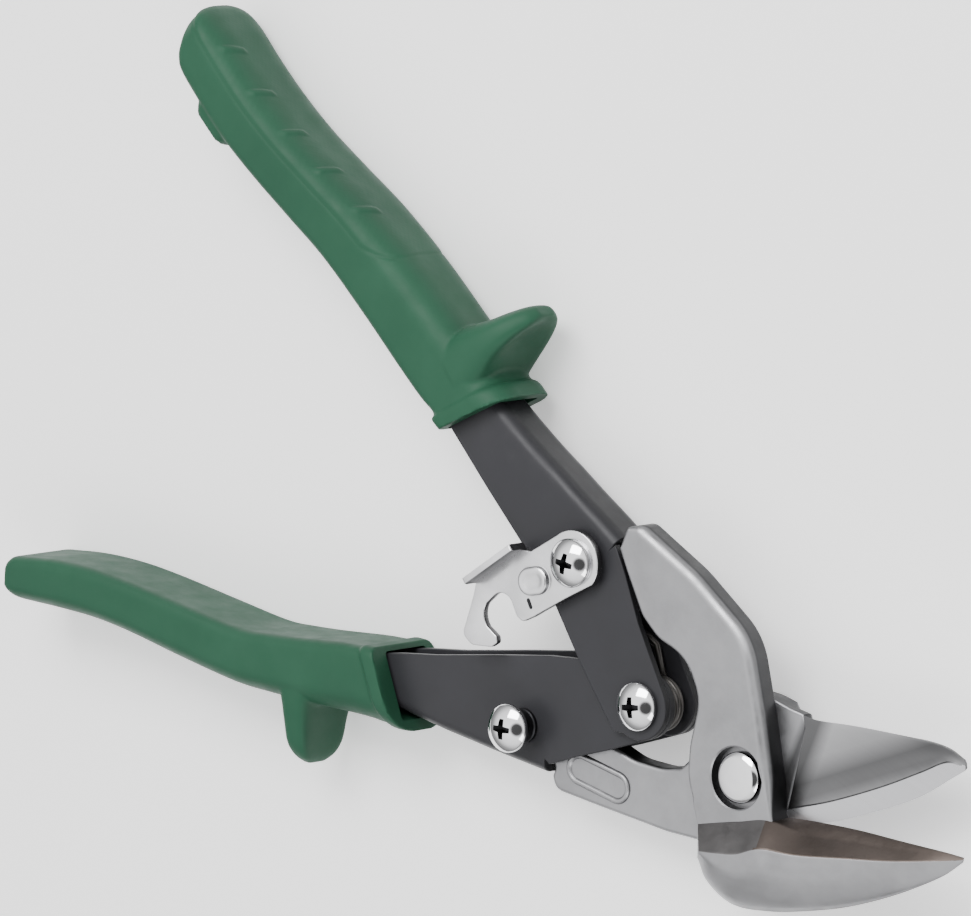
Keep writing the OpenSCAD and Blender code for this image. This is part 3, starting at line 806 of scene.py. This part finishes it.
def tongue(maker, rows, power):
    """A guard standing on the grip: rows of x, y, half thickness, half depth, turn and scoop."""
    rings = []
    for x, y, thick, deep, turn, scoop in through(rows, 5):
        c, s = math.cos(math.radians(turn)), math.sin(math.radians(turn))
        ring = []
        for t in np.linspace(0, 2 * math.pi, 65)[:-1]:
            p, q = math.cos(t), math.sin(t)
            f = (abs(p) ** power + abs(q) ** power) ** (-1 / power)
            p, q = p * f, q * f
            off = thick * p - scoop * max(0, p) * max(0, 1 - 1.3 * q * q)
            ring.append((x + c * off, y + s * off, deep * q))
        rings.append(ring)
    loft(maker, rings)


def grip(name, body, path, side, tongues):
    """A moulded grip. Path rows are x, y, half width, half depth and the section's slant in degrees."""
    rows = through(path, 10)
    u = -np.gradient(rows[:, :2], axis=0)
    u /= np.linalg.norm(u, axis=1)[:, None]
    rings = []
    for row, axis in zip(rows, u):
        slant = math.radians(row[4]) * side
        c, s = math.cos(slant), math.sin(slant)
        n = np.array([-(axis[0] * s + axis[1] * c), axis[0] * c - axis[1] * s]) * side
        rings.append([(row[0] + n[0] * x, row[1] + n[1] * x, z) for x, z in section(row[2], row[3])])
    m = Maker()
    loft(m, rings)
    for tongue_rows, power in tongues:
        tongue(m, tongue_rows, power)
    obj = piece(name, m.mesh(name), VINYL, body, [name])
    blend = obj.modifiers.new("one_skin", "REMESH")
    blend.mode = "VOXEL"
    blend.voxel_size = 0.36 * MM
    smooth = obj.modifiers.new("moulded", "SMOOTH")
    smooth.factor = 0.5
    smooth.iterations = 2
    apply_modifiers(obj)
    return obj


def apply_modifiers(obj):
    bpy.context.view_layer.update()
    graph = bpy.context.evaluated_depsgraph_get()
    mesh = bpy.data.meshes.new_from_object(obj.evaluated_get(graph))
    obj.modifiers.clear()
    old = obj.data
    mesh.name = old.name
    obj.data = mesh
    bpy.data.meshes.remove(old)
    for f in mesh.polygons:
        f.use_smooth = True


def smoothstep(x, low, high):
    t = np.clip((x - low) / (high - low), 0, 1)
    return t * t * (3 - 2 * t)


def vectors(mesh, name):
    """All the vertices' vectors of one kind, such as co or normal, as an array."""
    flat = np.empty(len(mesh.vertices) * 3)
    mesh.vertices.foreach_get(name, flat)
    return flat.reshape(-1, 3)


def sculpt(obj, path, side):
    """Raises the textured panel round the palm side, and the row of slanted bars on it."""
    mesh = obj.data
    co = vectors(mesh, "co")
    nor = vectors(mesh, "normal")
    count = len(co)
    block = 4000
    centre = through(path, 30)[:, :2]
    t = np.gradient(centre, axis=0)
    t /= np.linalg.norm(t, axis=1)[:, None]
    length = np.concatenate([[0], np.cumsum(np.linalg.norm(np.diff(centre, axis=0), axis=1))])
    xy = co[:, :2] / MM
    z = co[:, 2] / MM - MID
    near = np.empty(count, int)
    for start in range(0, count, block):
        part = slice(start, start + block)
        near[part] = np.argmin(((xy[part, None, :] - centre[None]) ** 2).sum(-1), axis=1)
    away = xy - centre[near]
    # s runs along the grip from its mouth, v out towards the palm
    s = length[near] + np.sum(away * t[near], axis=1)
    v = np.sum(away * np.stack([t[near][:, 1], -t[near][:, 0]], 1), axis=1) * side
    round_end = 33.5
    border = 2.3 + 5.5 * (1 - np.sqrt(np.clip((s - round_end) / 7.5, 0, 1)))
    panel = smoothstep(v, border - 0.2, border + 0.35) * smoothstep(s, round_end, round_end + 0.6)
    line = np.exp(-((v - border) / 0.42) ** 2) * smoothstep(s, round_end, round_end + 1)
    lift = 0.1 * panel - 0.17 * line
    outer = smoothstep(v, 3.6, 4.4)
    first_bar, pitch, bar_z, slant = 46.4, 11.6, 5.3, 0.45
    for k in range(5):
        along = s - first_bar - pitch * k - slant * (z - bar_z)
        lift += 0.3 * np.exp(-(along / 0.75) ** 4) * (1 - smoothstep(np.abs(z - bar_z), 1.6, 2.8)) * outer
    lift += 0.02 * np.sin(s * 5.1 + v * 1.7) * np.sin(z * 5.3 - s * 1.3) * panel
    co += nor * (lift * MM)[:, None]
    mesh.vertices.foreach_set("co", co.ravel())
    mesh.update()


def carve(obj, shape, materials, sharp):
    """Cuts the shape's mesh out of the piece, and sets its materials and sharp edges again."""
    cutter = bpy.data.objects.new("cutter", shape)
    bpy.context.scene.collection.objects.link(cutter)
    cut = obj.modifiers.new("cut", "BOOLEAN")
    cut.operation = "DIFFERENCE"
    cut.solver = "EXACT"
    cut.object = cutter
    apply_modifiers(obj)
    obj.data.materials.clear()
    for material in materials:
        obj.data.materials.append(material)
    bm = bmesh.new()
    bm.from_mesh(obj.data)
    finish_edges(bm, sharp)
    bm.to_mesh(obj.data)
    bm.free()
    bpy.data.objects.remove(cutter)
    bpy.data.meshes.remove(shape)


def cut_mouth(obj, outline, faces):
    """Opens the hollow that the channel goes into, wider than the channel at the lip."""
    front, rear = faces
    m = Maker()
    slab(m, dense(rounded(outline, 5), 3), rear - MOUTH_GAP, front + MOUTH_GAP, 0.8, 0.8)
    carve(obj, m.mesh("mouth_cutter"), [VINYL], 50)


def upper_grip():
    path = [(-84.7, 31.8, 8.9, 9.5, -20), (-87.3, 32.8, 8.9, 9.5, -20), (-88.4, 33.2, 8.0, 8.9, -18),
            (-91, 34.2, 7.8, 8.9, -14), (-95, 35.6, 7.8, 9.0, -10), (-102, 38.4, 7.6, 9.2, -3),
            (-114, 43.2, 7.3, 9.4, 0), (-128, 48.0, 6.8, 9.5, 0), (-140, 50.9, 6.5, 9.5, 0),
            (-151, 53.6, 6.3, 9.5, 0), (-161, 56.8, 6.3, 9.5, 0), (-169.5, 60.4, 6.2, 9.4, 0),
            (-175.0, 63.1, 6.1, 9.4, 3), (-177.1, 64.4, 5.7, 9.3, 13), (-179.0, 66.1, 4.7, 8.6, 20),
            (-180.5, 67.6, 3.5, 7.2, 23), (-181.4, 68.6, 2.3, 5.2, 24), (-181.8, 69.0, 1.2, 2.8, 24)]
    leaning_rows = 5
    wing = [(-92.5, 36.5, 8.5, 9.2, -30, 0), (-89.8, 42.0, 6.4, 9.2, -30, 1.8),
            (-87.3, 46.5, 4.6, 8.7, -28, 3.0), (-85.0, 50.5, 3.4, 7.0, -26, 2.2),
            (-83.2, 53.4, 2.4, 4.6, -24, 1.0), (-82.5, 54.9, 1.2, 2.3, -24, 0)]
    step = [(-164.9, 58.4, 6.8, 8.8, -23, 0), (-167.0, 53.2, 6.3, 8.8, -23, 0),
            (-167.8, 50.9, 5.0, 8.3, -23, 0)]
    obj = grip("upper_grip", "upper_handle", path, 1, [(wing, 2.6), (step, 5)])
    # the butt's last rows lean towards the palm, so the panel follows the straight part before them
    sculpt(obj, path[:-leaning_rows], 1)
    cut_mouth(obj, [(-70, 33.6, 1), (-84, 37.5, 0), (-93, 40.0, 1), (-96, 34, 1), (-97, 29.6, 1),
                    (-89, 25.2, 0), (-80, 20.6, 0), (-70, 16, 1)], UPPER_FACES)


def lower_grip():
    path = [(-81.5, -27.5, 8.7, 9.5, -24), (-84.1, -28.4, 8.7, 9.5, -24), (-85.2, -28.8, 7.8, 8.9, -22),
            (-88, -29.6, 7.5, 8.9, -16), (-93, -31.4, 7.2, 9.0, -10), (-103, -35.4, 6.6, 9.2, -3),
            (-111, -38.4, 6.2, 9.4, 0), (-119, -41.0, 5.9, 9.5, 0), (-133, -43.7, 5.7, 9.5, 0),
            (-147, -46.2, 5.4, 9.5, 0), (-157, -48.5, 5.3, 9.5, 0), (-166, -51.4, 5.2, 9.4, 0),
            (-173.6, -54.4, 4.8, 9.5, 0), (-176.8, -55.7, 4.5, 9.4, 0), (-178.4, -56.3, 3.6, 9.0, 0)]
    lug = [(-103.0, -36.5, 7.0, 9.2, 20, 0), (-102.2, -40.8, 4.3, 8.3, 20, 0.3),
           (-100.5, -45.6, 3.4, 7.4, 20, 0.6), (-98.9, -49.6, 3.0, 6.5, 18, 0.7),
           (-97.9, -52.0, 2.2, 4.8, 16, 0.3), (-97.4, -53.5, 1.1, 2.4, 16, 0)]
    obj = grip("lower_grip", "lower_handle", path, -1, [(lug, 3.6)])
    cut_mouth(obj, [(-66, -12, 1), (-76, -16.4, 0), (-84, -20.5, 0), (-92, -24.9, 1), (-93.5, -30, 1),
                    (-92, -35.7, 1), (-82, -33.0, 0), (-66, -30.2, 1)], LOWER_FACES)


# ---------------------------------------------------------------- fasteners
def cross_recess(obj, centre, top, turn):
    """Cuts a tapered cross into a screw head."""
    m = Maker()

    def cross(z, reach, half):
        p = []
        for k in range(4):
            along = heading(turn + 90 * k)
            across = np.array([-along[1], along[0]])
            p += [along * half - across * half, along * reach - across * half * 0.8,
                  along * reach + across * half * 0.8]
        return m.ring([centre + q for q in p], z)
    rings = [cross(top + 1.0, 2.5, 0.74), cross(top - 0.4, 1.95, 0.6), cross(top - 1.9, 0.8, 0.4)]
    m.join_all(rings)
    m.cap([rings[0]])
    m.cap([rings[-1]])
    carve(obj, m.mesh("cross_cutter", 1), [CHROME, SHADE_BLACK], 30)
    # painted shade: the recess and the shank below the head get the near-black material
    ball = top - DOME_R
    for f in obj.data.polygons:
        x, y, z = f.center / MM
        x, y, z = x - centre[0], y - centre[1], z - MID
        r = math.hypot(x, y)
        inside = z > top - 2.3 and r < 3.4 and math.hypot(r, z - ball) < DOME_R - 0.06
        f.material_index = 1 if inside or z < top - 2.85 else 0


def screw(name, body, centre, seat, tail, neck, turn):
    """A dome-head screw: neck is the (radius, z) profile under the head."""
    rim = 0.9
    profile = [(0, tail), (SCREW_R - 0.4, tail), (SCREW_R, tail + 0.4)] + neck
    profile += [(HEAD_R - 0.25, seat), (HEAD_R - 0.05, seat + 0.12), (HEAD_R, seat + 0.32),
                (HEAD_R, seat + rim - 0.15), (HEAD_R - 0.06, seat + rim + 0.04)]
    for k in range(1, 17):
        x = HEAD_R * (1 - k / 16) ** 0.9
        profile.append((x, seat + rim + math.sqrt(DOME_R ** 2 - x * x) - DOME_R + DOME))
    m = Maker()
    revolve(m, centre, profile)
    obj = piece(name, m.mesh(name, 35), CHROME, body, [name])
    cross_recess(obj, centre, profile[-1][1], turn)


def screws():
    screw("upper_screw", "upper_handle", PA, 8.45, -8.6, [(SCREW_R, 8.45)], 12)
    screw("handle_screw", "upper_handle", PH, 6.0, -9.4, [(SCREW_R, 6.0)], 28)
    screw("post_screw", "lower_handle", PB, 8.75, -9.2,
          [(SCREW_R, 4.4), (3.4, 4.4), (3.4, 5.1), (3.2, 5.3), (2.0, 5.3), (2.0, 8.75)], 20)


def pivot_bolt():
    m = Maker()
    revolve(m, (0, 0), [(0, -MID), (3.5, -MID), (3.95, -MID + 0.45), (3.95, 5.05), (BOLT_HEAD_R - 0.1, 5.05),
                        (BOLT_HEAD_R, 5.2), (BOLT_HEAD_R, 6.5), (BOLT_HEAD_R - 0.1, 6.8),
                        (BOLT_HEAD_R - 0.75, 7.35), (BOLT_HEAD_R - 1.1, 7.46), (2.2, 7.62), (0, 7.68)])
    piece("pivot_bolt", m.mesh("pivot_bolt", 30), CHROME, "lower_jaw", ["pivot_bolt"])


def keep_node(name, material, bevel):
    """A carried-over CAD piece: its own shape, a softened rim and a finished material."""
    obj = frame["nodes"][name]
    for slot in obj.material_slots:
        slot.material = material
    soften(obj, bevel, 3, 40)


def small_parts():
    for name in ("pivot_nut", "upper_nut", "handle_nut", "post_nut"):
        keep_node(name, NUT, 0.35)
    for name in ("pivot_washer", "upper_spacer", "lower_spacer", "handle_sleeve"):
        keep_node(name, NUT, 0.15)
    keep_node("latch_washer", ZINC, 0.1)


def torsion_spring():
    coil_r = 4.75
    wire_r = 0.8
    winding = 844                   # degrees
    steps = 120
    path = [(-45.4, 9.3, -1.9), (-38, 9.9, -1.9), (-33.0, 9.0, -1.9)]
    for i in range(steps + 1):
        a = math.radians(118 + winding * i / steps)
        path.append((PH[0] + coil_r * math.cos(a), coil_r * math.sin(a), -1.9 + 3.8 * i / steps))
    path += [(-33.0, -8.8, 1.9), (-38, -9.5, 1.9), (-45.4, -9.8, 1.9)]
    p = np.array(path, float)
    m = Maker()
    rings = []
    for i in range(len(p)):
        d = unit(p[min(len(p) - 1, i + 1)] - p[max(0, i - 1)])
        s = unit(np.cross((0, 0, 1), d))
        w = np.cross(d, s)
        rings.append([p[i] + wire_r * (math.cos(a) * s + math.sin(a) * w)
                      for a in np.linspace(0, 2 * math.pi, 17)[:-1]])
    loft(m, rings)
    piece("torsion_spring", m.mesh("torsion_spring", 60), SPRING, "upper_handle",
          ["torsion_spring"])


# ---------------------------------------------------------------- latch
def latch_plate():
    outline = (arc(PA, 6.2, -14, 152, 24)
               + corners((-60.6, 15.2), (-63.2, 14.2), (-70.2, 3.4), (-69.6, 0.4))
               + rounded([(-69.3, -3, 0), (-68.9, -7.6, 1.6), (-66.0, -8.4, 2), (-61.6, -6.4, 1.2),
                          (-60.6, -4.9, 0.7), (-61.3, -3.9, 0.4), (-62.3, -3.65, 0)], 4, closed=False)
               + arc((-62.3, 0.2), 3.9, 245, 172, 10) + arc((-62.5, 1.7), 2.9, 160, 42, 12)
               + rounded([(-60.0, 3.3, 0), (-58.4, 2.1, 0.6), (-56.8, 1.9, 0.8), (-54.9, 4.0, 1.5),
                          (-53, 6.5, 0)], 4, closed=False)
               + corners((-49.2, 11.4)))
    m = Maker()
    slab(m, outline, LATCH_LOW, LATCH_HIGH, 0.22, 0.15, [(PA, [(2.6, LATCH_HIGH), (2.6, LATCH_LOW)])], 3)
    piece("latch_plate", m.mesh("latch_plate"), ZINC, "latch", ["latch"])


def latch_tab():
    """The thumb tab, bent up square along the plate's outer edge."""
    low = LATCH_LOW
    a, b = corners((-62.9, 14.6), (-70.4, 3.0))
    along = unit(b - a)
    out = np.array((along[1], -along[0]))
    m = Maker()
    bend = 0.65
    profile = [(-0.25, low + 0.1), (0.5, low)]
    profile += [(0.5 + bend * math.sin(t), low + bend - bend * math.cos(t))
                for t in np.linspace(0.2, 1.57, 6)]
    profile += [(1.15, low + 4.3), (1.0, low + 4.6), (-0.1, low + 4.6), (-0.25, low + 4.3)]
    length = float(np.linalg.norm(b - a))
    rings = []
    for s, inset in ((0, 0.3), (0.15, 0.08), (0.4, 0),
                     (length - 0.4, 0), (length - 0.15, 0.08), (length, 0.3)):
        rings.append([(*(a + along * s + out * x), z - (inset if z > low + 3 else 0)) for x, z in profile])
    loft(m, rings)
    piece("latch_tab", m.mesh("latch_tab"), ZINC, "latch")


def latch_dimple():
    """The pressed pocket: a long dimple with a raised rim."""
    m = Maker()
    centre = np.array((-57.4, 10.5))
    lie = unit((-0.82, -0.57))
    profile = ((2.95, -0.3), (2.95, 0.02), (2.75, 0.08), (2.6, 0.85),
               (2.35, 1.05), (1.9, 1.1), (1.3, 0.85), (0.5, 0.7))
    closed_stack(m, [m.ring(stadium(centre, lie, 0.9, r, 14), LATCH_HIGH + z) for r, z in profile])
    piece("latch_dimple", m.mesh("latch_dimple"), ZINC, "latch")


def latch_slot():
    """The slot punched beside the pocket, drawn as a near-black slab: painted shade in the hole."""
    m = Maker()
    slot = stadium(np.array((-56.7, 5.9)), heading(-40), 0.7, 0.42, 8)
    slab(m, slot, LATCH_LOW - 0.01, LATCH_HIGH + 0.02, 0.02, 0.02)
    piece("latch_slot", m.mesh("latch_slot"), SHADE_BLACK, "latch")


# ---------------------------------------------------------------- stage
def bench():
    m = bpy.data.materials.new("studio_paper")
    m.use_nodes = True
    b = m.node_tree.nodes["Principled BSDF"]
    b.inputs["Base Color"].default_value = (0.95, 0.95, 0.95, 1)
    b.inputs["Roughness"].default_value = 0.9
    b.inputs["Emission Color"].default_value = (1, 1, 1, 1)
    b.inputs["Emission Strength"].default_value = 0.5
    mesh = bpy.data.meshes.new("floor")
    bm = bmesh.new()
    bmesh.ops.create_grid(bm, x_segments=2, y_segments=2, size=4)
    bm.to_mesh(mesh)
    bm.free()
    mesh.materials.append(m)
    floor = bpy.data.objects.new("floor", mesh)
    bpy.context.scene.collection.objects.link(floor)


def sky():
    world = bpy.data.worlds.new("studio")
    bpy.context.scene.world = world
    world.use_nodes = True
    tree = world.node_tree
    coords = tree.nodes.new("ShaderNodeTexCoord")
    split = tree.nodes.new("ShaderNodeSeparateXYZ")
    tree.links.new(coords.outputs["Generated"], split.inputs["Vector"])
    dome = ramp(tree, split.outputs["Z"],
                [(0.0, grey(0.15)), (0.3, grey(0.45)), (0.58, grey(1.3)), (1, grey(1.8))])
    # a small black flag over the bench gives the bright heads their dark spot
    flag = tree.nodes.new("ShaderNodeVectorMath")
    flag.operation = "DOT_PRODUCT"
    flag.inputs[1].default_value = (0.36, 0.05, 0.93)
    tree.links.new(coords.outputs["Generated"], flag.inputs[0])
    gap = ramp(tree, flag.outputs["Value"], [(0.905, grey(1)), (0.955, grey(0.05))])
    tree.links.new(times(tree, dome, gap), tree.nodes["Background"].inputs["Color"])


def softbox(name, at, size, power, shape):
    light = bpy.data.lights.new(name, "AREA")
    light.shape = "RECTANGLE"
    light.size = size
    light.size_y = size * shape
    light.energy = power
    obj = bpy.data.objects.new(name, light)
    bpy.context.scene.collection.objects.link(obj)
    obj.location = at
    aim = Vector((-0.05, 0, 0.01)) - Vector(at)
    obj.rotation_euler = aim.to_track_quat("-Z", "Y").to_euler()


def camera():
    cam = bpy.data.cameras.new("camera")
    cam.lens = CAMERA_LENS
    cam.sensor_width = 36
    cam.clip_start = 0.05
    obj = bpy.data.objects.new("camera", cam)
    bpy.context.scene.collection.objects.link(obj)
    obj.location = CAMERA_AT
    obj.rotation_euler = [math.radians(a) for a in CAMERA_TURN]
    bpy.context.scene.camera = obj


camera()
bench()
sky()
softbox("key", (-0.35, 0.75, 0.95), 0.8, 14, 0.7)
softbox("side", (0.9, -0.35, 0.6), 0.5, 4, 1.4)
lower_jaw_plate()
lower_jaw_tang()
lower_blade()
upper_jaw_plate()
nameplate()
upper_blade()
upper_handle()
lower_handle()
upper_grip()
lower_grip()
screws()
pivot_bolt()
small_parts()
torsion_spring()
latch_plate()
latch_tab()
latch_dimple()
latch_slot()
